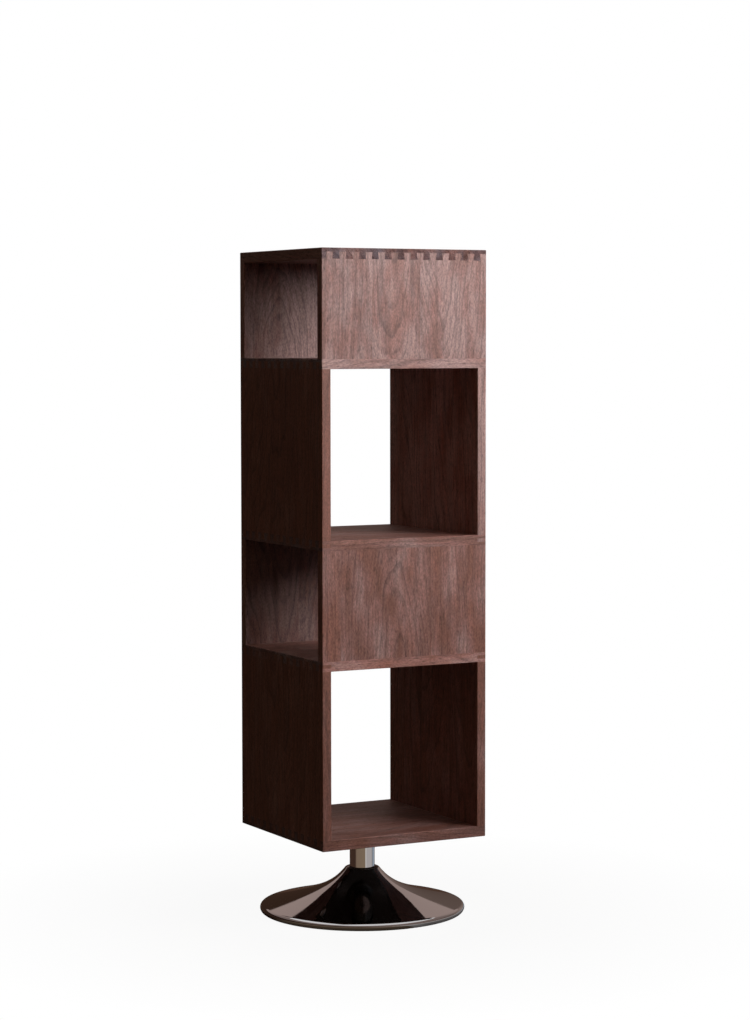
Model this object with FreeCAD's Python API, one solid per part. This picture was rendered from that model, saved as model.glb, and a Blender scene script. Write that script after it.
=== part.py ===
"""Revolving bookcase: four stacked tiers of dovetailed walnut that turn on a chromed trumpet base.

Millimetres. The origin is on the floor on the turning axis. X runs along the front of the case, Y goes
from front to back and Z goes up. The tiers are, from the top: the upper shelf, open at the left and the
right; the upper case, open at the front and the back; the middle shelf, like the upper one; and the
lower case, like the upper case.
"""
import FreeCAD, Part
import math
import os

# Case: a square tower of boards and panels, with thicker boards at its foot and its top
case_width = 360.0
board = 19.0
outer_board = 21.0
case_underside = 163.4
lower_case_clear = 325.0
middle_shelf_clear = 212.0
upper_case_clear = 326.0
upper_shelf_clear = 189.4
corner_ease = 1.6
rim_ease = 0.8

# Half-blind dovetails, cut with a jig from one edge of the panel to the other
tail_length = 13.4
tail_root = 12.0
tail_tip = 16.0
tail_pitch = 28.0
first_tail = 17.0
glue_gap = 0.08

# Loose tenons in the butt joints of the upper and middle panels
tenon_count = 3
tenon_width = 40.0
tenon_thickness = 8.0
tenon_in_board = 11.0
tenon_in_panel = 18.0

# Swivel plate, spindle and thrust bearing
plate_width = 180.0
plate_thickness = 6.0
plate_corner = 15.0
plate_hole_inset = 15.0
mounting_screw = 6.0
mounting_head = 12.0
mounting_head_height = 3.5
mounting_cover = 6.0
spindle_diameter = 25.0
spindle_weld_diameter = 20.0
spindle_weld_recess = 0.5
spindle_collar_diameter = 38.0
spindle_collar_height = 4.0
spindle_tail = 4.0
bearing_diameter = 42.0
race_thickness = 3.0
housing_washer_play = 1.0
roller_diameter = 5.0
roller_count = 12
cage_thickness = 3.0
cage_play = 0.6
cage_rim = 1.2
pocket_gap = 0.15
keeper_thickness = 2.0
keeper_overlap = 2.5
keeper_play = 0.3
ring_thickness = 1.2
ring_groove = 0.55
ring_width = 3.6
ring_mouth = 8.0

# Column, its housing and its hub
column_diameter = 50.0
column_wall = 2.0
bush_wall = 2.0
bush_length = 32.0
housing_rim_height = 10.0
housing_floor = 3.0
housing_overhang = 3.0
hub_flange_diameter = 110.0
hub_flange_thickness = 12.0
hub_roof = 4.0
hub_access_play = 1.5
hub_screw = 8.0
hub_screw_circle = 80.0
hub_screw_count = 4
hub_screw_cover = 3.0
screw_head_ratio = 2.0

# Trumpet base
base_diameter = 409.0
neck_height = 89.2
neck_angle = 51.5
rim_angle = 13.3
flare_fullness = 1.6
lip_radius = 4.0
lip_skirt = 4.0
cover_thickness = 1.5
hem_radius = 8.0
hem_lift = 0.8
hem_return = 8.0
collar_wall = 2.2
collar_height = 9.0
collar_below_lip = 2.0
weight_diameter = 210.0
weight_height = 12.6
weight_slope = 12.0
plate_web = 6.4
plate_rim = 12.0
floor_ring_width = 14.0
floor_ring_inset = 2.0
plug_rim = 2.5
plug_head = 1.4
plug_depth = 6.0

# Fits: pieces that stay together, the spindle in its bushes, the rollers, and the ends of blind holes
fit_gap = 0.1
running_gap = 0.05
roller_gap = 0.06
blind_gap = 0.5

# How far a cutting shape runs past the face that it cuts
overrun = 1.0

# Heights and widths of the case, from the foot up
lower_floor = case_underside + outer_board
lower_ceiling = lower_floor + lower_case_clear
middle_floor = lower_ceiling + board
middle_ceiling = middle_floor + middle_shelf_clear
upper_floor = middle_ceiling + board
upper_ceiling = upper_floor + upper_case_clear
shelf_floor = upper_ceiling + board
shelf_ceiling = shelf_floor + upper_shelf_clear
case_top = shelf_ceiling + outer_board
half = case_width / 2
inner_half = half - board
screw_tip = lower_floor - mounting_cover

# Swivel, from the underside of the case down
hole_spacing = plate_width - 2 * plate_hole_inset
plate_under = case_underside - plate_thickness
collar_under = plate_under - spindle_collar_height
upper_race_under = collar_under - race_thickness
roller_middle = upper_race_under - roller_gap - roller_diameter / 2
lower_race_top = roller_middle - roller_diameter / 2 - roller_gap
bearing_seat = lower_race_top - race_thickness
column_top = bearing_seat - housing_floor

# Heights of the base, from the floor up
plate_bottom = hem_lift + cover_thickness + fit_gap
plate_edge_top = hem_lift + 2 * hem_radius - cover_thickness - fit_gap
weight_top = plate_bottom + weight_height
hub_top = weight_top + hub_flange_thickness
keeper_ceiling = hub_top - hub_roof
keeper_top = keeper_ceiling - keeper_play
keeper_bottom = keeper_top - keeper_thickness
ring_bottom = keeper_bottom - ring_thickness
spindle_foot = ring_bottom - spindle_tail

# Radii that several pieces share
spindle_radius = spindle_diameter / 2
bush_bore = spindle_radius + running_gap
bush_outer = bush_bore + bush_wall
bush_seat = bush_outer + fit_gap
column_radius = column_diameter / 2
column_bore = column_radius - column_wall
spigot_radius = column_bore - fit_gap
keeper_radius = bush_outer + keeper_overlap
access_radius = keeper_radius + hub_access_play
cage_inner = spindle_radius + cage_play
cage_outer = bearing_diameter / 2 - cage_play
rim_radius = base_diameter / 2 - hem_radius
collar_bore = column_radius + fit_gap
collar_outer = collar_bore + collar_wall
neck_hole = collar_outer + fit_gap

X = FreeCAD.Vector(1, 0, 0)
Y = FreeCAD.Vector(0, 1, 0)
Z = FreeCAD.Vector(0, 0, 1)
origin = FreeCAD.Vector(0, 0, 0)


def block(x, y, z):
    """Box between a low and a high limit along each axis."""
    return Part.makeBox(x[1] - x[0], y[1] - y[0], z[1] - z[0], FreeCAD.Vector(x[0], y[0], z[0]))


def rod(radius, low, high, x=0.0, y=0.0):
    """Upright cylinder between two heights."""
    return Part.makeCylinder(radius, high - low, FreeCAD.Vector(x, y, low))


def tube(inner, outer, low, high):
    """Upright tube on the turning axis."""
    return rod(outer, low, high).cut(rod(inner, low - overrun, high + overrun))


def turned(outline):
    """Solid turned on the axis from a closed outline of radius and height."""
    points = [FreeCAD.Vector(radius, 0, height) for radius, height in outline]
    return Part.Face(Part.makePolygon(points + points[:1])).revolve(origin, Z, 360)


def grid(spacing):
    """Corners of a square round the axis."""
    return [(x * spacing / 2, y * spacing / 2) for x in (-1, 1) for y in (-1, 1)]


# Dovetails

def tail_centres():
    """Tail centres from the edge where the jig starts: a half pin comes first, a cut tail last."""
    count = int((case_width - first_tail) // tail_pitch) + 1
    return [first_tail + number * tail_pitch for number in range(count)]


def tail_row(start, along, inward, rise, shrink=0.0):
    """Tails of one joint. start is the corner of the panel's outer face on the joint's baseline."""
    spread = (tail_tip - tail_root) / 2 / tail_length
    low = -overrun
    high = tail_length - shrink
    tails = []
    for centre in tail_centres():
        low_half = tail_root / 2 + spread * low - shrink
        high_half = tail_root / 2 + spread * high - shrink
        outline = [(-low_half, low), (low_half, low), (high_half, high), (-high_half, high)]
        points = [start + along * (centre + across) + rise * height for across, height in outline]
        face = Part.Face(Part.makePolygon(points + points[:1]))
        tails.append(face.extrude(inward * board))
    return tails


def side_joint(side, jig_start, level, up):
    """Start and directions of the joint at one end of a left (-1) or right (1) side panel."""
    start = FreeCAD.Vector(side * half, jig_start * half, level)
    return start, Y * -jig_start, X * -side, Z * up


def end_joint(side):
    """Start and directions of the joint at the head of the front (-1) or back (1) upper panel."""
    start = FreeCAD.Vector(-half, side * half, shelf_ceiling)
    return start, X, Y * -side, Z


# The jig starts at the front edge on the outer boards of the stack and at the back edge on the inner ones
upper_case_joints = {side: (side_joint(side, -1, upper_ceiling, 1), side_joint(side, 1, upper_floor, -1))
                     for side in (-1, 1)}
lower_case_joints = {side: (side_joint(side, 1, lower_ceiling, 1), side_joint(side, -1, lower_floor, -1))
                     for side in (-1, 1)}
top_joints = {side: end_joint(side) for side in (-1, 1)}


# Eased edges of the whole case

def case_envelope():
    """Outside of the case with its corners rounded over."""
    whole = block((-half, half), (-half, half), (case_underside, case_top))
    return whole.makeFillet(corner_ease, whole.Edges)


def rim_cutters():
    """Tapered cutters that ease the arris round both mouths of every tier."""
    tiers = [(lower_floor, lower_ceiling, 0), (middle_floor, middle_ceiling, 90),
             (upper_floor, upper_ceiling, 0), (shelf_floor, shelf_ceiling, 90)]
    grow = rim_ease + overrun
    wide = inner_half + grow
    cutters = []
    for floor, ceiling, turn in tiers:
        for face in (0, 180):
            cutter = Part.makeWedge(-inner_half, half - rim_ease, floor, floor - grow, -wide,
                                    inner_half, half + overrun, ceiling, ceiling + grow, wide)
            cutter.rotate(origin, Z, turn + face)
            cutters.append(cutter)
    return cutters


# Loose tenons

def tenon_row(side, level, into_panel, gap=0.0, end_gap=0.0):
    """Tenons, or with gaps their mortises, in the front (-1) or back (1) butt joint at one height."""
    middle = side * (half - board / 2)
    in_board = level - into_panel * (tenon_in_board + end_gap)
    in_panel = level + into_panel * (tenon_in_panel + end_gap)
    height = sorted((in_board, in_panel))
    thick = tenon_thickness / 2 + gap
    wide = tenon_width / 2 + gap
    row = []
    for number in range(tenon_count):
        x = ((number + 0.5) / tenon_count - 0.5) * case_width
        row.append(block((x - wide, x + wide), (middle - thick, middle + thick), height))
    return row


# Each butt joint: its height, and whether the panel stands above it (1) or hangs below it (-1)
upper_butts = [(shelf_floor, 1)]
middle_butts = [(middle_floor, 1), (middle_ceiling, -1)]


def mortises(side, butts):
    """Mortises for all the tenons on one side."""
    return [cut for level, into in butts for cut in tenon_row(side, level, into, fit_gap, blind_gap)]


def tenons(butts):
    """All the tenons of a pair of panels, as one group."""
    return Part.makeCompound([solid for side in (-1, 1) for level, into in butts
                              for solid in tenon_row(side, level, into)])


# Boards and panels

envelope = case_envelope()
rims = rim_cutters()


def finished(shape):
    """Ease the outside corners and the mouths of the tiers, and join faces that lie in one plane."""
    return shape.common(envelope).cut(rims).removeSplitter()


def shelf_board(underside, thickness, joints=(), cutters=()):
    """Horizontal board with the sockets of its dovetails and its other cuts."""
    slab = block((-half, half), (-half, half), (underside, underside + thickness))
    sockets = [socket for joint in joints for socket in tail_row(*joint)]
    return finished(slab.cut(sockets + list(cutters)))


def side_panel(side, floor, ceiling, joints):
    """Left or right panel of a case, with tails at its head and its foot."""
    outer = side * half
    panel = block(sorted((outer, outer - side * board)), (-half, half), (floor, ceiling))
    tails = [tail for joint in joints for tail in tail_row(*joint, shrink=glue_gap)]
    return finished(panel.fuse(tails))


def front_panel(side, floor, ceiling, butts, tails=()):
    """Front or back panel of a shelf tier, with mortises for its tenons."""
    outer = side * half
    panel = block((-half, half), sorted((outer, outer - side * board)), (floor, ceiling))
    if tails:
        panel = panel.fuse(list(tails))
    return finished(panel.cut(mortises(side, butts)))


def case_parts():
    """All the wood."""
    screw_end = screw_tip + blind_gap
    screw_holes = [rod(mounting_screw / 2 + fit_gap, case_underside - overrun, screw_end, x, y)
                   for x, y in grid(hole_spacing)]
    upper_mortises = mortises(-1, upper_butts) + mortises(1, upper_butts)
    middle_mortises = mortises(-1, middle_butts) + mortises(1, middle_butts)
    upper_heads = [upper_case_joints[side][0] for side in (-1, 1)]
    upper_feet = [upper_case_joints[side][1] for side in (-1, 1)]
    lower_heads = [lower_case_joints[side][0] for side in (-1, 1)]
    lower_feet = [lower_case_joints[side][1] for side in (-1, 1)]
    parts = {
        "top_board": shelf_board(shelf_ceiling, outer_board, top_joints.values()),
        "upper_case_top": shelf_board(upper_ceiling, board, upper_heads, upper_mortises),
        "upper_case_bottom": shelf_board(middle_ceiling, board, upper_feet, middle_mortises),
        "lower_case_top": shelf_board(lower_ceiling, board, lower_heads, middle_mortises),
        "lower_case_bottom": shelf_board(case_underside, outer_board, lower_feet, screw_holes),
        "upper_panel_tenons": tenons(upper_butts),
        "middle_panel_tenons": tenons(middle_butts),
    }
    for side, name in ((-1, "left"), (1, "right")):
        upper_joints = upper_case_joints[side]
        lower_joints = lower_case_joints[side]
        parts[f"upper_case_{name}_side"] = side_panel(side, upper_floor, upper_ceiling, upper_joints)
        parts[f"lower_case_{name}_side"] = side_panel(side, lower_floor, lower_ceiling, lower_joints)
    for side, name in ((-1, "front"), (1, "back")):
        heads = tail_row(*top_joints[side], shrink=glue_gap)
        parts[f"upper_{name}_panel"] = front_panel(side, shelf_floor, shelf_ceiling, upper_butts, heads)
        parts[f"middle_{name}_panel"] = front_panel(side, middle_floor, middle_ceiling, middle_butts)
    return parts


# Swivel

def mounting_plate():
    """Square plate with round corners, four screw holes and the hole that the spindle is welded into."""
    plate = block((-plate_width / 2, plate_width / 2), (-plate_width / 2, plate_width / 2),
                  (plate_under, case_underside))
    upright = [edge for edge in plate.Edges if abs(edge.tangentAt(edge.FirstParameter).z) > 0.9]
    plate = plate.makeFillet(plate_corner, upright)
    holes = [rod(mounting_screw / 2 + fit_gap, plate_under - overrun, case_underside + overrun, x, y)
             for x, y in grid(hole_spacing)]
    weld_hole = rod(spindle_weld_diameter / 2 + fit_gap, plate_under - overrun, case_underside + overrun)
    return plate.cut(holes + [weld_hole])


def mounting_screws():
    """Pan-headed wood screws up through the plate into the bottom board."""
    screws = []
    for x, y in grid(hole_spacing):
        head = rod(mounting_head / 2, plate_under - mounting_head_height, plate_under, x, y)
        shank = rod(mounting_screw / 2, plate_under - mounting_head_height / 2, screw_tip, x, y)
        screws.append(head.fuse(shank))
    return Part.makeCompound(screws)


def spindle():
    """Turned spindle: a spigot welded into the plate, a collar on the bearing and a groove for the ring."""
    weld = spindle_weld_diameter / 2
    collar = spindle_collar_diameter / 2
    groove = spindle_radius - ring_groove
    return turned([(0, spindle_foot), (spindle_radius, spindle_foot), (spindle_radius, ring_bottom),
                   (groove, ring_bottom), (groove, keeper_bottom), (spindle_radius, keeper_bottom),
                   (spindle_radius, collar_under), (collar, collar_under), (collar, plate_under),
                   (weld, plate_under), (weld, case_underside - spindle_weld_recess),
                   (0, case_underside - spindle_weld_recess)])


def retaining_ring():
    """Open spring ring in the spindle's groove."""
    inner = spindle_radius - ring_groove + fit_gap
    ring = tube(inner, inner + ring_width, ring_bottom, keeper_bottom)
    mouth = block((0, inner + ring_width + overrun), (-ring_mouth / 2, ring_mouth / 2),
                  (ring_bottom - overrun, keeper_bottom + overrun))
    return ring.cut(mouth)


def around(solid):
    """Copies of a solid on the bearing's circle, one for each roller."""
    copies = []
    for number in range(roller_count):
        copy = solid.copy()
        copy.rotate(origin, Z, 360.0 * number / roller_count)
        copies.append(copy)
    return copies


def bearing_rollers():
    """Rollers that lie like spokes."""
    near_end = cage_inner + cage_rim + pocket_gap
    far_end = cage_outer - cage_rim - pocket_gap
    start = FreeCAD.Vector(near_end, 0, roller_middle)
    return Part.makeCompound(around(Part.makeCylinder(roller_diameter / 2, far_end - near_end, start, X)))


def roller_cage():
    """Flat ring with a window for each roller."""
    low = roller_middle - cage_thickness / 2
    high = roller_middle + cage_thickness / 2
    wide = roller_diameter / 2 + pocket_gap
    window = block((cage_inner + cage_rim, cage_outer - cage_rim), (-wide, wide),
                   (low - overrun, high + overrun))
    return tube(cage_inner, cage_outer, low, high).cut(around(window))


def swivel_parts():
    """All that turns under the case, and the cage that turns half as fast."""
    return {
        "mounting_plate": mounting_plate(),
        "mounting_screws": mounting_screws(),
        "spindle": spindle(),
        "shaft_washer": tube(spindle_radius + running_gap, cage_outer, upper_race_under, collar_under),
        "keeper_washer": tube(spindle_radius + running_gap, keeper_radius, keeper_bottom, keeper_top),
        "retaining_ring": retaining_ring(),
        "roller_cage": roller_cage(),
        "bearing_rollers": bearing_rollers(),
    }


# Base

def bearing_housing():
    """Plug in the head of the column with the bearing's seat and the bore of the upper bush."""
    seat = bearing_diameter / 2 + fit_gap
    rim = column_radius + housing_overhang
    foot = bearing_seat - bush_length
    return turned([(bush_seat, foot), (spigot_radius, foot), (spigot_radius, column_top), (rim, column_top),
                   (rim, bearing_seat + housing_rim_height), (seat, bearing_seat + housing_rim_height),
                   (seat, bearing_seat), (bush_seat, bearing_seat)])


def screw_circle():
    """Places of the screws that hold the hub."""
    turns = [2 * math.pi * (number + 0.5) / hub_screw_count for number in range(hub_screw_count)]
    return [(hub_screw_circle / 2 * math.cos(turn), hub_screw_circle / 2 * math.sin(turn)) for turn in turns]


def sunk_screw(x, y, gap=0.0):
    """Countersunk screw from below, or with a gap its hole."""
    shank = hub_screw / 2 + gap
    head = shank * screw_head_ratio
    low = plate_bottom
    cone = Part.makeCone(head, shank, head - shank, FreeCAD.Vector(x, y, low))
    return cone.fuse(rod(shank, low, hub_top - hub_screw_cover + gap, x, y))


def hub():
    """Flanged socket that carries the column, bored for the lower bush and for the spindle's keeper."""
    flange = hub_flange_diameter / 2
    spigot_top = keeper_ceiling + bush_length
    shape = turned([(access_radius, weight_top), (flange, weight_top), (flange, hub_top),
                    (spigot_radius, hub_top), (spigot_radius, spigot_top), (bush_seat, spigot_top),
                    (bush_seat, keeper_ceiling), (access_radius, keeper_ceiling)])
    return shape.cut([sunk_screw(x, y, fit_gap) for x, y in screw_circle()])


def base_plate():
    """Cast-iron plate: a rim for the hem, a thin web, a thick middle and the holes of the hub."""
    weight = weight_diameter / 2
    web_top = plate_bottom + plate_web
    web_edge = rim_radius - plate_rim
    shape = turned([(access_radius, plate_bottom), (rim_radius, plate_bottom), (rim_radius, plate_edge_top),
                    (web_edge, plate_edge_top), (web_edge, web_top), (weight + weight_slope, web_top),
                    (weight, weight_top), (access_radius, weight_top)])
    return shape.cut([sunk_screw(x, y, fit_gap) for x, y in screw_circle()])


def sheet_slope(angle):
    """Directions down the sheet and out of it, where it falls outwards at an angle in degrees."""
    turn = math.radians(angle)
    return X * math.cos(turn) - Z * math.sin(turn), X * math.sin(turn) + Z * math.cos(turn)


def cover_flare(lip, hem, inset):
    """Curve of the trumpet from its lip's to its hem's bend, moved inwards by the sheet's thickness."""
    lip_down, lip_out = sheet_slope(neck_angle)
    hem_down, hem_out = sheet_slope(rim_angle)
    top = lip + lip_out * (lip_radius - inset)
    foot = hem + hem_out * (hem_radius - inset)
    reach = (foot - top).cross(hem_down).y / lip_down.cross(hem_down).y
    curve = Part.BezierCurve()
    curve.setPoles([top, top + lip_down * reach, foot])
    curve.setWeight(2, flare_fullness)
    return curve.toShape()


def round_bend(centre, radius, first, last):
    """Arc between two angles, in degrees from the horizontal."""
    turns = [math.radians(angle) for angle in (first, (first + last) / 2, last)]
    points = [centre + X * radius * math.cos(turn) + Z * radius * math.sin(turn) for turn in turns]
    return Part.Arc(*points).toShape()


def base_cover():
    """Spun trumpet: a lip curled in round the column, the flare, and a hem rolled under the base plate."""
    lip = FreeCAD.Vector(neck_hole + lip_radius, 0, neck_height - lip_radius)
    hem = FreeCAD.Vector(rim_radius, 0, hem_lift + hem_radius)
    curl = round_bend(lip, lip_radius, 180, 90 - neck_angle)
    fold = round_bend(hem, hem_radius, 90 - rim_angle, -90)
    skirt_top = lip - X * lip_radius
    fold_end = hem - Z * hem_radius
    outer_flare = cover_flare(lip, hem, 0)
    inner_flare = cover_flare(lip, hem, cover_thickness)
    inside_lip = [skirt_top + (X * cover_thickness - Z * lip_skirt), skirt_top + X * cover_thickness,
                  lip + Z * (lip_radius - cover_thickness), inner_flare.Vertexes[0].Point]
    inside_hem = [inner_flare.Vertexes[1].Point, hem + X * (hem_radius - cover_thickness),
                  fold_end + Z * cover_thickness, fold_end + Z * cover_thickness - X * hem_return]
    skirt = Part.makePolygon([inside_lip[0], skirt_top - Z * lip_skirt, skirt_top])
    turn_in = Part.makePolygon([fold_end, fold_end - X * hem_return, inside_hem[-1]])
    edges = [curl, outer_flare, fold, inner_flare]
    for wire in (skirt, turn_in, Part.makePolygon(inside_lip), Part.makePolygon(inside_hem)):
        edges += wire.Edges
    outline = Part.Wire(Part.__sortEdges__(edges))
    return Part.Face(outline).revolve(origin, Z, 360)


def access_plug():
    """Cup-shaped plug with a thin rim under the plate."""
    body = access_radius - fit_gap
    low = plate_bottom - plug_head
    high = plate_bottom + plug_depth
    return turned([(0, low), (body + plug_rim, low), (body + plug_rim, plate_bottom), (body, plate_bottom),
                   (body, high), (body - plug_rim, high), (body - plug_rim, plate_bottom), (0, plate_bottom)])


def base_parts():
    """All that stands still."""
    ring_outer = rim_radius - hem_return - floor_ring_inset
    collar_top = neck_height - collar_below_lip
    return {
        "column_tube": tube(column_bore, column_radius, hub_top, column_top),
        "bearing_housing": bearing_housing(),
        "housing_washer": tube(spindle_radius + housing_washer_play, bearing_diameter / 2,
                               bearing_seat, lower_race_top),
        "upper_bush": tube(bush_bore, bush_outer, bearing_seat - bush_length, bearing_seat),
        "lower_bush": tube(bush_bore, bush_outer, keeper_ceiling, keeper_ceiling + bush_length),
        "hub": hub(),
        "hub_screws": Part.makeCompound([sunk_screw(x, y) for x, y in screw_circle()]),
        "base_cover": base_cover(),
        "neck_collar": tube(collar_bore, collar_outer, collar_top - collar_height, collar_top),
        "base_plate": base_plate(),
        "floor_ring": tube(ring_outer - floor_ring_width, ring_outer, 0, plate_bottom),
        "access_plug": access_plug(),
    }


os.makedirs("parts", exist_ok=True)
for name, shape in {**case_parts(), **swivel_parts(), **base_parts()}.items():
    shape.exportStep(f"parts/{name}.step")
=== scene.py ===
"""Looks of the revolving bookcase: oiled walnut on a chromed trumpet, in a plain white studio. Metres."""
import math
import random

import bpy
from mathutils import Matrix, Vector


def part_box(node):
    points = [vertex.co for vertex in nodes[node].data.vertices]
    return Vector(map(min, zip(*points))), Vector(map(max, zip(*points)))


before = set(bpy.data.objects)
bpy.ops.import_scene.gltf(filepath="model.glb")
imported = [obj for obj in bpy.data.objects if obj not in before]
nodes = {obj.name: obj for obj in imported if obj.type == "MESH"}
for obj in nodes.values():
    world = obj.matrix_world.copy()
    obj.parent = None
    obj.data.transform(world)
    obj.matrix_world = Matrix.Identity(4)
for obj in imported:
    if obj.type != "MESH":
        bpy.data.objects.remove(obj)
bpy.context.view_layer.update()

mm = 0.001
X = Vector((1, 0, 0))
Y = Vector((0, 1, 0))
Z = Vector((0, 0, 1))


# Colours and nodes

def linear(code):
    """Linear red, green, blue and alpha of an sRGB hex value."""
    channels = [int(code[start:start + 2], 16) / 255 for start in (1, 3, 5)]
    curve = [c / 12.92 if c <= 0.04045 else ((c + 0.055) / 1.055) ** 2.4 for c in channels]
    return (*curve, 1.0)


def add(tree, kind, inputs=(), stops=(), **settings):
    """Adds a node with its settings and the stops of its ramp.

    Its inputs are values, or the sockets of other nodes.
    """
    node = tree.nodes.new("ShaderNode" + kind)
    for name, value in settings.items():
        setattr(node, name, value)
    for number, (place, colour) in enumerate(stops):
        elements = node.color_ramp.elements
        stop = elements[number] if number < len(elements) else elements.new(place)
        stop.position = place
        stop.color = linear(colour) if isinstance(colour, str) else colour
    for name, value in dict(inputs).items():
        if isinstance(value, bpy.types.NodeSocket):
            tree.links.new(value, node.inputs[name])
        else:
            node.inputs[name].default_value = value
    return node


def new_material(name):
    """Empty material and its tree of nodes."""
    material = bpy.data.materials.new(name)
    material.use_nodes = True
    material.node_tree.nodes.clear()
    return material, material.node_tree


def finish_node(name, material):
    """Gives a CAD node its finish."""
    for slot in nodes[name].material_slots:
        slot.material = material


# Black walnut, planed, sanded and oiled: heartwood that drifts from red-brown to mauve grey, growth rings
# that a flat cut draws as arches and thin wandering lines, open pores that leave short dark flecks along
# the grain, and a soft sheen from the oil. Pores are under half a millimetre wide, so they are drawn wider,
# to show from across a room

walnut_red = "#784d41"
walnut_middle = "#865e56"
walnut_grey = "#94746f"
end_grain_tint = (0.46, 0.6, 0.74)
oiled_roughness = 0.44
pore_roughness = 0.62
end_grain_roughness = 0.2

# The figure in millimetres. Sizes are across the grain, in depth and along it
ring_width = 7.0
ring_drift = 14.0
ring_drift_length = 40.0
wander_size = (60.0, 60.0, 210.0)
wander_reach = (34.0, 34.0, 0.0)
flow_reach = (16.0, 16.0, 0.0)
patch_size = (42.0, 42.0, 120.0)
streak_size = (7.0, 7.0, 130.0)
fleck_size = (1.9, 1.9, 4.5)
pore_size = (2.4, 2.4, 15.0)
soak_size = 45.0
relief_depth = 0.3
stave_shift = (937.0, 613.0, 1451.0)

# How dark a year's ring is from spring to winter, and what turns each pattern into a shade or a share
season_shades = [(0.0, 0.0), (0.55, 0.12), (0.88, 1.0), (1.0, 0.0)]
ring_strength = {"To Min": -0.08, "To Max": -0.46}
streak_shade = {"From Min": 0.3, "From Max": 0.7, "To Min": 0.78, "To Max": 1.22}
fleck_shade = {"From Min": 0.3, "From Max": 0.7, "To Min": 1.27, "To Max": 0.73}
pore_shade = {"From Min": 0.58, "From Max": 0.72, "To Min": 1.0, "To Max": 0.6}
tone_shade = {"To Min": 0.7, "To Max": 1.3}
# Eased edges drawn paler: a painted highlight for the light they catch
edge_highlight_shade = {"From Min": 0.98, "From Max": 0.8, "To Min": 1.0, "To Max": 1.35}
end_facing = {"From Min": 0.35, "From Max": 0.6}
soak_share = {"From Min": 0.35, "From Max": 0.6, "To Min": 0.45, "To Max": 1.0}

# Staves: their widths and the places of their pith in millimetres, the lean of the pith as a slope, how far
# their tones stray, and the largest pith and lean that a stop can hold
stave_widths = (75, 125)
mean_stave = 100
least_stave = 50
pith_stray = 90
pith_depths = (25, 110)
pith_leans = (0.03, 0.16)
tone_stray = 0.08
pith_limit = 600.0
lean_limit = 0.6


def drawn_staves(width, seed, tone):
    """Staves of a board that the photograph doesn't show closely, in tones near one tone."""
    draw = random.Random(seed)
    staves = []
    end = 0.0
    while end < width:
        end += draw.uniform(*stave_widths)
        if width - end < least_stave:
            end = width
        slant = draw.choice((-1, 1))
        pith_across = end - width / 2 - mean_stave / 2 + draw.uniform(-pith_stray, pith_stray)
        pith_depth = slant * draw.uniform(*pith_depths)
        lean = slant * draw.uniform(*pith_leans)
        staves.append((end, pith_across, pith_depth, lean, tone + draw.uniform(-tone_stray, tone_stray)))
    return staves


def stave_stops(width, staves):
    """Ramp stops that hold each stave's pith, lean and tone, from 0 to 1, at the edge where it starts."""
    stops = []
    start = 0.0
    for end, pith_across, pith_depth, lean, tone in staves:
        held = [part / limit / 2 + 0.5 for part, limit in
                ((pith_across, pith_limit), (pith_depth, pith_limit), (lean, lean_limit))]
        stops.append((start / width, (*held, tone)))
        start = end
    return stops


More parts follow.
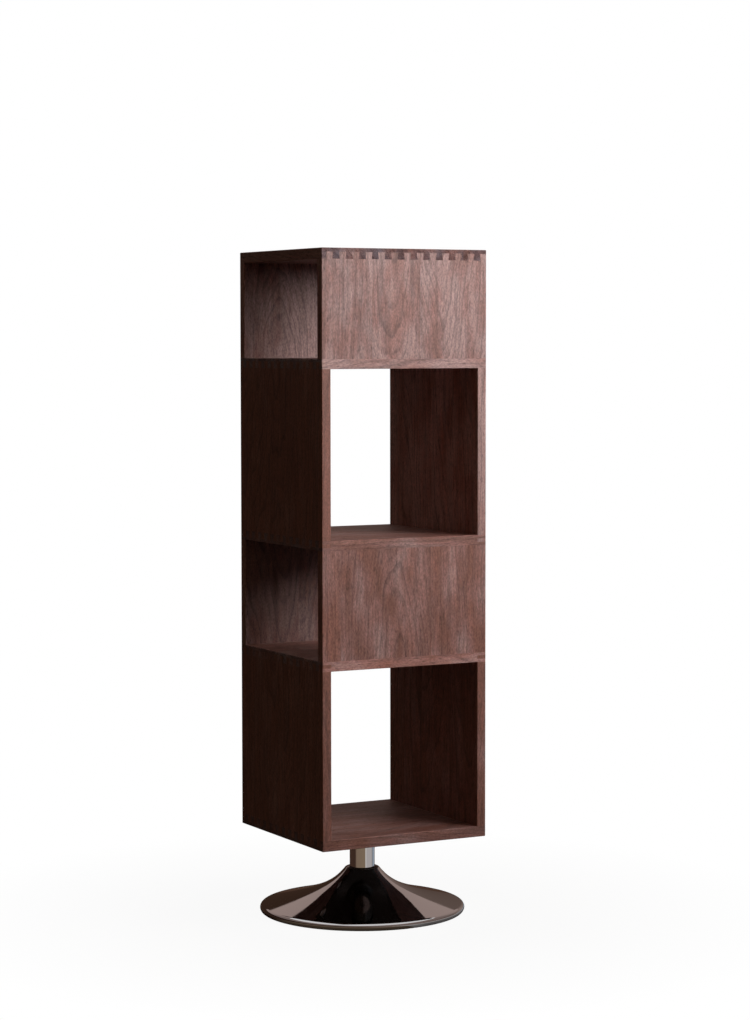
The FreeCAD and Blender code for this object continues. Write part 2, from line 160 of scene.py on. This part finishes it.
def walnut(name, along, across, staves, grey):
    """Walnut for one board or panel.

    It takes the ways along and across the grain, the staves or the tone to draw them in, and how grey it is.
    """
    material, tree = new_material("oiled_walnut_" + name)
    low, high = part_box(name)
    width = abs((high - low).dot(across)) / mm
    if isinstance(staves, float):
        staves = drawn_staves(width, name, staves)
    axes = Matrix((across, along.cross(across), along))
    centre = axes @ ((low + high) / 2) / mm
    place = add(tree, "TexCoord").outputs
    local = add(tree, "Mapping", {"Vector": place["Object"], "Location": -centre, "Rotation": axes.to_euler(),
                                  "Scale": (1 / mm,) * 3}).outputs[0]
    at = add(tree, "SeparateXYZ", {0: local}).outputs

    # The stave that a point lies in, the pith of that stave's tree, and a place of its own in the figure
    share = add(tree, "Math", {0: at["X"], 1: 1 / width, 2: 0.5}, operation="MULTIPLY_ADD").outputs[0]
    stave = add(tree, "ValToRGB", {0: share}, stave_stops(width, staves))
    stave.color_ramp.interpolation = "CONSTANT"
    held, stave_tone = stave.outputs
    spread = Vector((pith_limit, pith_limit, lean_limit)) * 2
    pith = add(tree, "VectorMath", {0: held, 1: spread, 2: -spread / 2}, operation="MULTIPLY_ADD").outputs[0]
    pith = add(tree, "SeparateXYZ", {0: pith}).outputs
    inside = add(tree, "VectorMath", {0: held, 1: stave_shift, 2: local}, operation="MULTIPLY_ADD").outputs[0]

    # Growth rings round the pith, which wanders along the trunk, with years of uneven width and strength
    from_pith = add(tree, "Math", {0: at["X"], 1: pith["X"]}, operation="SUBTRACT").outputs[0]
    depth = add(tree, "Math", {0: at["Y"], 1: pith["Y"]}, operation="SUBTRACT").outputs[0]
    leaned = add(tree, "Math", {0: at["Z"], 1: pith["Z"], 2: depth}, operation="MULTIPLY_ADD").outputs[0]
    flat = add(tree, "CombineXYZ", {"X": from_pith, "Y": leaned}).outputs[0]
    slow = add(tree, "VectorMath", {0: inside, 1: wander_size}, operation="DIVIDE").outputs[0]
    wander = add(tree, "TexNoise", {"Vector": slow, "Scale": 1.0, "Detail": 2.0, "Roughness": 0.4})
    wander = add(tree, "VectorMath", {0: wander.outputs["Color"], 1: (0.5,) * 3},
                 operation="SUBTRACT").outputs[0]
    bent = add(tree, "VectorMath", {0: wander, 1: wander_reach, 2: flat}, operation="MULTIPLY_ADD").outputs[0]
    radius = add(tree, "VectorMath", {0: bent}, operation="LENGTH").outputs["Value"]
    spell = add(tree, "Math", {0: radius, 1: ring_drift_length}, operation="DIVIDE").outputs[0]
    drift = add(tree, "TexNoise", {"W": spell, "Scale": 1.0, "Detail": 2.0}, noise_dimensions="1D").outputs[0]
    years = add(tree, "Math", {0: drift, 1: ring_drift, 2: radius}, operation="MULTIPLY_ADD").outputs[0]
    years = add(tree, "Math", {0: years, 1: ring_width}, operation="DIVIDE").outputs[0]
    season = add(tree, "Math", {0: years}, operation="FRACT").outputs[0]
    year = add(tree, "Math", {0: years}, operation="FLOOR").outputs[0]
    strength = add(tree, "TexWhiteNoise", {"W": year}, noise_dimensions="1D").outputs["Value"]
    strength = add(tree, "MapRange", {"Value": strength, **ring_strength}).outputs[0]
    late_wood = add(tree, "ValToRGB", {0: season},
                    [(part, (shade, shade, shade, 1.0)) for part, shade in season_shades]).outputs[0]
    ring = add(tree, "Math", {0: late_wood, 1: strength, 2: 1.0}, operation="MULTIPLY_ADD").outputs[0]

    # Heartwood that drifts in colour, soft streaks, fine flecks and long open pores. Streaks and pores bend
    # with the wandering trunk
    flow = add(tree, "VectorMath", {0: wander, 1: flow_reach, 2: inside}, operation="MULTIPLY_ADD").outputs[0]
    drifts = add(tree, "VectorMath", {0: inside, 1: patch_size}, operation="DIVIDE").outputs[0]
    patch = add(tree, "TexNoise", {"Vector": drifts, "Scale": 1.0, "Detail": 3.0, "Roughness": 0.55})
    patch = add(tree, "Math", {0: patch.outputs[0], 1: grey}, operation="ADD").outputs[0]
    colour = add(tree, "ValToRGB", {0: patch},
                 [(0.32, walnut_red), (0.5, walnut_middle), (0.68, walnut_grey)]).outputs[0]
    fibre = add(tree, "VectorMath", {0: flow, 1: streak_size}, operation="DIVIDE").outputs[0]
    streak = add(tree, "TexNoise", {"Vector": fibre, "Scale": 1.0, "Detail": 2.0}).outputs[0]
    streak = add(tree, "MapRange", {"Value": streak, **streak_shade}).outputs[0]
    grit = add(tree, "VectorMath", {0: inside, 1: fleck_size}, operation="DIVIDE").outputs[0]
    fleck = add(tree, "TexNoise", {"Vector": grit, "Scale": 1.0, "Detail": 1.0}).outputs[0]
    fleck = add(tree, "MapRange", {"Value": fleck, **fleck_shade}).outputs[0]
    dash = add(tree, "VectorMath", {0: flow, 1: pore_size}, operation="DIVIDE").outputs[0]
    pore = add(tree, "TexNoise", {"Vector": dash, "Scale": 1.0, "Detail": 1.0}).outputs[0]
    pore = add(tree, "MapRange", {"Value": pore, **pore_shade}).outputs[0]
    tone = add(tree, "MapRange", {"Value": stave_tone, **tone_shade}).outputs[0]
    for shade in (ring, streak, fleck, pore, tone):
        colour = add(tree, "VectorMath", {0: colour, 1: shade}, operation="MULTIPLY").outputs[0]

    # End grain drinks more oil and goes dark and grey, here more and there less
    # Eased edges are drawn paler: a painted highlight for the light that their rounding catches
    sides = add(tree, "VectorMath", {0: place["Normal"]}, operation="ABSOLUTE").outputs[0]
    sides = add(tree, "SeparateXYZ", {0: sides}).outputs
    flattest = add(tree, "Math", {0: sides["X"], 1: sides["Y"]}, operation="MAXIMUM").outputs[0]
    flattest = add(tree, "Math", {0: flattest, 1: sides["Z"]}, operation="MAXIMUM").outputs[0]
    edge_highlight = add(tree, "MapRange", {"Value": flattest, **edge_highlight_shade}).outputs[0]
    facing = add(tree, "VectorMath", {0: place["Normal"], 1: along}, operation="DOT_PRODUCT").outputs["Value"]
    endwise = add(tree, "Math", {0: facing}, operation="ABSOLUTE").outputs[0]
    endwise = add(tree, "MapRange", {"Value": endwise, **end_facing}).outputs[0]
    thirst = add(tree, "TexNoise", {"Vector": local, "Scale": 1 / soak_size, "Detail": 1.0}).outputs[0]
    thirst = add(tree, "MapRange", {"Value": thirst, **soak_share}).outputs[0]
    soak = add(tree, "Math", {0: endwise, 1: thirst}, operation="MULTIPLY").outputs[0]
    edge_highlighted = add(tree, "VectorMath", {0: colour, 1: edge_highlight}, operation="MULTIPLY").outputs[0]
    soaked = add(tree, "VectorMath", {0: colour, 1: end_grain_tint}, operation="MULTIPLY").outputs[0]
    colour = add(tree, "Mix", {"Factor": soak, "A": edge_highlighted, "B": soaked}, data_type="RGBA").outputs["Result"]

    # Oil leaves a soft sheen, duller in the pores and on end grain
    gloss = add(tree, "MapRange", {"Value": pore, "From Min": pore_shade["To Max"],
                                   "From Max": pore_shade["To Min"], "To Min": pore_roughness,
                                   "To Max": oiled_roughness}).outputs[0]
    gloss = add(tree, "Math", {0: endwise, 1: end_grain_roughness, 2: gloss},
                operation="MULTIPLY_ADD").outputs[0]
    relief = add(tree, "Math", {0: pore, 1: fleck}, operation="MULTIPLY").outputs[0]
    bump = add(tree, "Bump", {"Height": relief, "Strength": 0.15, "Distance": relief_depth * mm}).outputs[0]
    surface = add(tree, "BsdfPrincipled", {"Base Color": colour, "Roughness": gloss, "Normal": bump,
                                           "IOR": 1.5, "Specular IOR Level": 0.3}).outputs[0]
    add(tree, "OutputMaterial", {"Surface": surface})
    return material


# Staves that the photograph shows: the far edge of each, its pith across and in depth, its lean and its tone

front_upper_staves = [(107, -330, 90, 0.02, 0.47), (211, -27, 26, 0.16, 0.52), (360, 79, 30, 0.17, 0.52)]
back_upper_staves = [(190, -100, 30, -0.17, 0.66), (360, 70, 40, 0.12, 0.6)]
front_middle_staves = [(38, -260, 60, 0.12, 0.56), (235, -13, 19, -0.14, 0.44), (360, 420, 60, 0.02, 0.52)]

# Boards and panels: the way of the grain, the way across it, the staves or their tone, and how grey they are
# Where a board is drawn greyer, as the upper boards and back panels are, that is partly the walnut's own
# colour and partly a painted sheen for the grey veil of reflected light
grain = {
    "top_board": (Y, X, 0.5, 0.0),
    "upper_front_panel": (Z, X, front_upper_staves, 0.06),
    "upper_back_panel": (Z, X, back_upper_staves, 0.16),
    "middle_front_panel": (Z, X, front_middle_staves, -0.08),
    "middle_back_panel": (Z, X, 0.22, 0.14),
    "upper_case_top": (X, Y, 0.74, 0.12),
    "upper_case_bottom": (X, Y, 0.5, -0.03),
    "lower_case_top": (X, Y, 0.98, -0.02),
    "lower_case_bottom": (X, Y, 0.36, -0.03),
    "upper_case_left_side": (Z, Y, 0.62, -0.2),
    "upper_case_right_side": (Z, Y, 0.78, 0.12),
    "lower_case_left_side": (Z, Y, 0.46, -0.14),
    "lower_case_right_side": (Z, Y, 0.5, -0.12),
}
for name, (along, across, staves, grey) in grain.items():
    finish_node(name, walnut(name, along, across, staves, grey))


# Chrome plate on spun and drawn steel, polished to a mirror: what the eye sees is the room, a little greyed,
# broken only by faint wipe marks

def chrome():
    material, tree = new_material("polished_chrome")
    wipe_size = 40 * mm
    place = add(tree, "TexCoord").outputs["Object"]
    wipes = add(tree, "TexNoise", {"Vector": place, "Scale": 1 / wipe_size, "Detail": 3.0}).outputs[0]
    haze = add(tree, "MapRange", {"Value": wipes, "From Min": 0.4, "From Max": 0.75, "To Min": 0.03,
                                  "To Max": 0.08}).outputs[0]
    surface = add(tree, "BsdfPrincipled", {"Base Color": linear("#c4c2c3"), "Metallic": 1.0,
                                           "Roughness": haze}).outputs[0]
    add(tree, "OutputMaterial", {"Surface": surface})
    return material


# Steamed beech, sawn and planed, left raw: pale pinkish brown with short darker flecks along the grain

def beech():
    material, tree = new_material("raw_beech")
    beech_fleck = (1.2 * mm, 1.2 * mm, 9 * mm)
    place = add(tree, "TexCoord").outputs["Object"]
    grit = add(tree, "VectorMath", {0: place, 1: beech_fleck}, operation="DIVIDE").outputs[0]
    fleck = add(tree, "TexNoise", {"Vector": grit, "Scale": 1.0, "Detail": 2.0}).outputs[0]
    colour = add(tree, "ValToRGB", {0: fleck},
                 [(0.35, "#d2a87c"), (0.6, "#c4946a"), (0.72, "#8d5f40")]).outputs[0]
    bump = add(tree, "Bump", {"Height": fleck, "Strength": 0.2, "Distance": 0.2 * mm}).outputs[0]
    surface = add(tree, "BsdfPrincipled", {"Base Color": colour, "Roughness": 0.7, "Normal": bump,
                                           "IOR": 1.5}).outputs[0]
    add(tree, "OutputMaterial", {"Surface": surface})
    return material


# Black powder coat on steel, sprayed dry and baked: deep black with a wet gloss and a faint ripple

def powder_coat():
    material, tree = new_material("black_powder_coat")
    ripple_size = 3 * mm
    place = add(tree, "TexCoord").outputs["Object"]
    ripple = add(tree, "TexNoise", {"Vector": place, "Scale": 1 / ripple_size, "Detail": 2.0}).outputs[0]
    gloss = add(tree, "MapRange", {"Value": ripple, "To Min": 0.16, "To Max": 0.28}).outputs[0]
    colour = add(tree, "ValToRGB", {0: ripple}, [(0.3, "#0b0b0c"), (0.7, "#141415")]).outputs[0]
    bump = add(tree, "Bump", {"Height": ripple, "Strength": 0.05, "Distance": 0.1 * mm}).outputs[0]
    surface = add(tree, "BsdfPrincipled", {"Base Color": colour, "Roughness": gloss, "Normal": bump,
                                           "IOR": 1.5}).outputs[0]
    add(tree, "OutputMaterial", {"Surface": surface})
    return material


# Steel turned on a lathe and oiled: grey metal with fine ring marks round the axis, which stretch its
# highlights

def turned_steel():
    material, tree = new_material("turned_steel")
    feed_size = 0.4 * mm
    place = add(tree, "TexCoord").outputs["Object"]
    at = add(tree, "SeparateXYZ", {0: place}).outputs
    level = add(tree, "CombineXYZ", {"X": at["X"], "Y": at["Y"]}).outputs[0]
    away = add(tree, "VectorMath", {0: level}, operation="LENGTH").outputs["Value"]
    feed = add(tree, "Math", {0: away, 1: at["Z"]}, operation="ADD").outputs[0]
    marks = add(tree, "TexNoise", {"W": feed, "Scale": 1 / feed_size, "Detail": 2.0},
                noise_dimensions="1D").outputs[0]
    colour = add(tree, "ValToRGB", {0: marks}, [(0.3, "#8f9092"), (0.7, "#bdbec0")]).outputs[0]
    gloss = add(tree, "MapRange", {"Value": marks, "To Min": 0.22, "To Max": 0.4}).outputs[0]
    bump = add(tree, "Bump", {"Height": marks, "Strength": 0.2, "Distance": 0.05 * mm}).outputs[0]
    surface = add(tree, "BsdfPrincipled", {"Base Color": colour, "Metallic": 1.0, "Roughness": gloss,
                                           "Normal": bump}).outputs[0]
    add(tree, "OutputMaterial", {"Surface": surface})
    return material


# Zinc plate on steel screws, tumbled bright: blue-grey metal with small dull patches

def zinc():
    material, tree = new_material("zinc_plated_steel")
    patch_width = 1.5 * mm
    place = add(tree, "TexCoord").outputs["Object"]
    patches = add(tree, "TexVoronoi", {"Vector": place, "Scale": 1 / patch_width}).outputs["Color"]
    dull = add(tree, "SeparateXYZ", {0: patches}).outputs["X"]
    colour = add(tree, "ValToRGB", {0: dull}, [(0.0, "#a9afb6"), (1.0, "#c9cdd1")]).outputs[0]
    gloss = add(tree, "MapRange", {"Value": dull, "To Min": 0.25, "To Max": 0.42}).outputs[0]
    surface = add(tree, "BsdfPrincipled", {"Base Color": colour, "Metallic": 1.0,
                                           "Roughness": gloss}).outputs[0]
    add(tree, "OutputMaterial", {"Surface": surface})
    return material


# Sintered bronze, pressed from powder and soaked in oil: dull gold brown with a fine dark grain of pores

def bronze():
    material, tree = new_material("sintered_bronze")
    powder_size = 0.5 * mm
    place = add(tree, "TexCoord").outputs["Object"]
    powder = add(tree, "TexNoise", {"Vector": place, "Scale": 1 / powder_size, "Detail": 3.0}).outputs[0]
    colour = add(tree, "ValToRGB", {0: powder},
                 [(0.35, "#6f4c26"), (0.55, "#a5753c"), (0.75, "#b98a4c")]).outputs[0]
    gloss = add(tree, "MapRange", {"Value": powder, "To Min": 0.5, "To Max": 0.3}).outputs[0]
    surface = add(tree, "BsdfPrincipled", {"Base Color": colour, "Metallic": 1.0,
                                           "Roughness": gloss}).outputs[0]
    add(tree, "OutputMaterial", {"Surface": surface})
    return material


# Grey iron cast in sand and painted black: matt, with the grain of the sand still showing through the paint

def cast_iron():
    material, tree = new_material("painted_cast_iron")
    sand_size = 1.6 * mm
    place = add(tree, "TexCoord").outputs["Object"]
    sand = add(tree, "TexNoise", {"Vector": place, "Scale": 1 / sand_size, "Detail": 4.0}).outputs[0]
    colour = add(tree, "ValToRGB", {0: sand}, [(0.3, "#151515"), (0.7, "#2a2928")]).outputs[0]
    bump = add(tree, "Bump", {"Height": sand, "Strength": 0.5, "Distance": 0.4 * mm}).outputs[0]
    surface = add(tree, "BsdfPrincipled", {"Base Color": colour, "Roughness": 0.62, "Normal": bump,
                                           "IOR": 1.5}).outputs[0]
    add(tree, "OutputMaterial", {"Surface": surface})
    return material


# Black rubber and black plastic, both moulded: rubber is matt with a dusty bloom, plastic has a fine spark
# grain

def moulded(name, dark, bloom, grain_size, roughness):
    material, tree = new_material(name)
    place = add(tree, "TexCoord").outputs["Object"]
    skin = add(tree, "TexNoise", {"Vector": place, "Scale": 1 / grain_size, "Detail": 3.0}).outputs[0]
    colour = add(tree, "ValToRGB", {0: skin}, [(0.35, dark), (0.75, bloom)]).outputs[0]
    bump = add(tree, "Bump", {"Height": skin, "Strength": 0.25, "Distance": 0.1 * mm}).outputs[0]
    surface = add(tree, "BsdfPrincipled", {"Base Color": colour, "Roughness": roughness, "Normal": bump,
                                           "IOR": 1.5}).outputs[0]
    add(tree, "OutputMaterial", {"Surface": surface})
    return material


rubber = moulded("black_rubber", dark="#0f0f0f", bloom="#262524", grain_size=2 * mm, roughness=0.85)
plastic = moulded("black_plastic", dark="#0c0c0c", bloom="#1a1a1a", grain_size=0.6 * mm, roughness=0.5)
finishes = [
    (chrome(), ["base_cover", "column_tube", "bearing_housing"]),
    (beech(), ["upper_panel_tenons", "middle_panel_tenons"]),
    (powder_coat(), ["mounting_plate"]),
    (turned_steel(), ["spindle", "shaft_washer", "keeper_washer", "retaining_ring", "bearing_rollers",
                      "housing_washer", "hub"]),
    (zinc(), ["mounting_screws", "hub_screws"]),
    (bronze(), ["roller_cage", "upper_bush", "lower_bush"]),
    (cast_iron(), ["base_plate"]),
    (rubber, ["floor_ring"]),
    (plastic, ["neck_collar", "access_plug"]),
]
for finish, names in finishes:
    for name in names:
        finish_node(name, finish)


# Stage: a floor that shows white under a white world, and a dim room that shows only where it is mirrored

def heading(azimuth):
    """Level direction. Azimuth 0 is in front of the case and 90 to its right."""
    turn = math.radians(azimuth)
    return Vector((math.sin(turn), -math.cos(turn), 0))


view_heading = 28.110
view_way = heading(180 - view_heading)
white = (1, 1, 1, 1)
fill_colour = "#ffd8ae"
fill_above = 0.1
fill_below = 0.002
floor_size = 24.0
floor_colour = "#b9b4ae"
shadow_start = 0.3
shadow_end = 0.9
shadow_share = 0.06
room_radius = 6.0
room_height = 6.0
room_sides = 96
boards_lift = 0.4 * mm
wainscot_height = 2.2
wainscot_left = "#3b2a21"
wainscot_right = "#9a877f"
wall_colour = "#ad9992"
dim_wall = 0.6
# Colours of the glowing room floor by azimuth, with its painted window light: a pale pool from the front
# round to the right, then bluish light
floor_light = [(-92, "#4d382e"), (-80, "#937e6a"), (0, "#9a8670"), (3, "#f2efec"), (8, "#f2efec"),
               (12, "#cfcac8"), (72, "#cfcac8"), (76, "#5a463b"), (79, "#5a463b"), (82, "#b2bfcc"),
               (112, "#b2bfcc"), (118, "#4d382e")]


def seen_rays(tree):
    """1 for the rays that show a backdrop: from the camera, from metal and through glass."""
    path = add(tree, "LightPath").outputs
    seen = add(tree, "Math", {0: path["Is Camera Ray"], 1: path["Is Glossy Ray"]},
               operation="MAXIMUM").outputs[0]
    return add(tree, "Math", {0: seen, 1: path["Is Transmission Ray"]}, operation="MAXIMUM").outputs[0]


def white_floor():
    """Pale floor that shows white, and round the object keeps a faint shadow."""
    material, tree = new_material("white_floor")
    place = add(tree, "TexCoord").outputs["Object"]
    away = add(tree, "VectorMath", {0: place}, operation="LENGTH").outputs["Value"]
    fade = add(tree, "MapRange", {"Value": away, "From Min": shadow_start, "From Max": shadow_end,
                                  "To Min": 1 - shadow_share, "To Max": 1.0}).outputs[0]
    share = add(tree, "Math", {0: seen_rays(tree), 1: fade}, operation="MULTIPLY").outputs[0]
    matt = add(tree, "BsdfDiffuse", {"Color": linear(floor_colour)}).outputs[0]
    glow = add(tree, "Emission", {"Color": white, "Strength": 1.0}).outputs[0]
    mixed = add(tree, "MixShader", {0: share, 1: matt, 2: glow}).outputs[0]
    add(tree, "OutputMaterial", {"Surface": mixed})
    return material


def white_world():
    """White behind everything, and a faint warm fill, most of it from above."""
    world = bpy.data.worlds.new("white_studio")
    bpy.context.scene.world = world
    world.use_nodes = True
    tree = world.node_tree
    tree.nodes.clear()
    way = add(tree, "TexCoord").outputs["Generated"]
    rise = add(tree, "SeparateXYZ", {0: way}).outputs["Z"]
    strength = add(tree, "MapRange", {"Value": rise, "From Min": -0.1, "From Max": 0.3, "To Min": fill_below,
                                      "To Max": fill_above}).outputs[0]
    fill = add(tree, "Background", {"Color": linear(fill_colour), "Strength": strength}).outputs[0]
    backdrop = add(tree, "Background", {"Color": white, "Strength": 1.0}).outputs[0]
    mixed = add(tree, "MixShader", {0: seen_rays(tree), 1: fill, 2: backdrop}).outputs[0]
    add(tree, "OutputWorld", {"Surface": mixed})


def room_wall():
    """Wall of the dim room, brightest behind the case: brown low down, less so to the right, pale above."""
    material, tree = new_material("room_wall")
    place = add(tree, "TexCoord").outputs["Object"]
    to_right = add(tree, "VectorMath", {0: place, 1: heading(90 - view_heading)},
                   operation="DOT_PRODUCT").outputs["Value"]
    to_right = add(tree, "MapRange", {"Value": to_right, "From Min": 0.0,
                                      "From Max": 0.5 * room_radius}).outputs[0]
    brown = add(tree, "ValToRGB", {0: to_right}, [(0.0, wainscot_left), (1.0, wainscot_right)]).outputs[0]
    height = add(tree, "SeparateXYZ", {0: place}).outputs["Z"]
    above = add(tree, "MapRange", {"Value": height, "From Min": wainscot_height,
                                   "From Max": wainscot_height + 0.02 * room_height}).outputs[0]
    colour = add(tree, "Mix", {"Factor": above, "A": brown, "B": linear(wall_colour)},
                 data_type="RGBA").outputs["Result"]
    behind = add(tree, "VectorMath", {0: place, 1: view_way}, operation="DOT_PRODUCT").outputs["Value"]
    light = add(tree, "MapRange", {"Value": behind, "From Min": 0.5 * room_radius,
                                   "From Max": 0.8 * room_radius, "To Min": dim_wall,
                                   "To Max": 1.0}).outputs[0]
    glow = add(tree, "Emission", {"Color": colour, "Strength": light}).outputs[0]
    add(tree, "OutputMaterial", {"Surface": glow})
    return material


def room_floor():
    """Brown boards of the dim room that glow, with painted light bright towards the window and a painted
    shadow dark under the object.
    """
    material, tree = new_material("room_floor")
    place = add(tree, "TexCoord").outputs["Object"]
    compass = add(tree, "Mapping", {"Vector": place, "Rotation": (0, 0, math.radians(90))}).outputs[0]
    share = add(tree, "TexGradient", {"Vector": compass}, gradient_type="RADIAL").outputs["Fac"]
    stops = [(azimuth / 360 + 0.5, shade) for azimuth, shade in floor_light]
    colour = add(tree, "ValToRGB", {0: share}, stops).outputs[0]
    away = add(tree, "VectorMath", {0: place}, operation="LENGTH").outputs["Value"]
    light = add(tree, "MapRange", {"Value": away, "From Min": 0.2, "From Max": 0.34, "To Min": 0.12,
                                   "To Max": 1.0}).outputs[0]
    glow = add(tree, "Emission", {"Color": colour, "Strength": light}).outputs[0]
    add(tree, "OutputMaterial", {"Surface": glow})
    return material


def mirrored_only(thing):
    """Leaves a stage piece to the surfaces that mirror it: the camera and the soft light pass through it."""
    thing.visible_camera = False
    thing.visible_diffuse = False
    thing.visible_transmission = False
    thing.visible_shadow = False


bpy.ops.object.select_all(action="DESELECT")
bpy.ops.mesh.primitive_cylinder_add(vertices=room_sides, radius=room_radius, depth=room_height,
                                    end_fill_type="NOTHING", location=(0, 0, room_height / 2))
bpy.ops.object.transform_apply(location=True)
wall = bpy.context.object
wall.name = "room_wall"
wall.data.materials.append(room_wall())
mirrored_only(wall)
bpy.ops.mesh.primitive_circle_add(vertices=room_sides, radius=room_radius, fill_type="NGON",
                                  location=(0, 0, boards_lift))
bpy.ops.object.transform_apply(location=True)
boards = bpy.context.object
boards.name = "room_floor"
boards.data.materials.append(room_floor())
mirrored_only(boards)

# The white floor throws no light back up at the object
bpy.ops.mesh.primitive_plane_add(size=floor_size)
floor = bpy.context.object
floor.name = "floor"
floor.data.materials.append(white_floor())
floor.visible_diffuse = False
white_world()


# Lamps

def softbox(name, azimuth, distance, height, size, power, aim, spread=180):
    """Soft lamp that points at a height on the axis, with its light kept within a spread in degrees."""
    light = bpy.data.lights.new(name, "AREA")
    light.shape = "RECTANGLE"
    light.size, light.size_y = size
    light.energy = power
    light.spread = math.radians(spread)
    lamp = bpy.data.objects.new(name, light)
    bpy.context.scene.collection.objects.link(lamp)
    lamp.location = heading(azimuth) * distance + Z * height
    lamp.rotation_euler = (Z * aim - lamp.location).to_track_quat("-Z", "Y").to_euler()
    return lamp


def choose_lit(lamp, names, state):
    """Has a lamp light some CAD nodes and nothing else, with INCLUDE, or all but them, with EXCLUDE."""
    chosen = bpy.data.collections.new(lamp.name + "_receivers")
    for name in names:
        chosen.objects.link(nodes[name])
    for receiver in chosen.collection_objects:
        receiver.light_linking.link_state = state
    lamp.light_linking.receiver_collection = chosen


# One key lamp in two halves: the boards below the top show its sheen, while the top board and the chrome
# take its light without its glare
key_lamp = dict(azimuth=42, distance=3.0, height=2.25, size=(2.3, 1.8), power=32.5, aim=1.4, spread=70)
sheen_boards = [name for name in grain if name != "top_board"]
choose_lit(softbox("key", **key_lamp), sheen_boards, "INCLUDE")
dull_key = softbox("dull_key", **key_lamp)
choose_lit(dull_key, sheen_boards, "EXCLUDE")
dull_key.visible_glossy = False

# The back lamp stands low and far off, so that it lights the back and hardly a shelf
back = softbox("back", azimuth=180, distance=7.0, height=0.3, size=(0.5, 0.4), power=240, aim=0.6)
back.visible_glossy = False


# Camera at the photograph's viewing angle. The frame is higher than wide, so the sensor's width spans its
# height

focal_pixels = 2703.6
frame_height_pixels = 1020.0
view_place = (-2.5002, -4.7371, 1.1439)
view_tilt = 3.637
view_roll = 0.055
camera = bpy.data.cameras.new("camera")
camera.lens = camera.sensor_width * focal_pixels / frame_height_pixels
view = bpy.data.objects.new("camera", camera)
bpy.context.scene.collection.objects.link(view)
view.location = view_place
view.rotation_euler = (math.radians(90 - view_tilt), math.radians(view_roll), math.radians(-view_heading))
bpy.context.scene.camera = view
bpy.context.scene.view_settings.view_transform = "Standard"
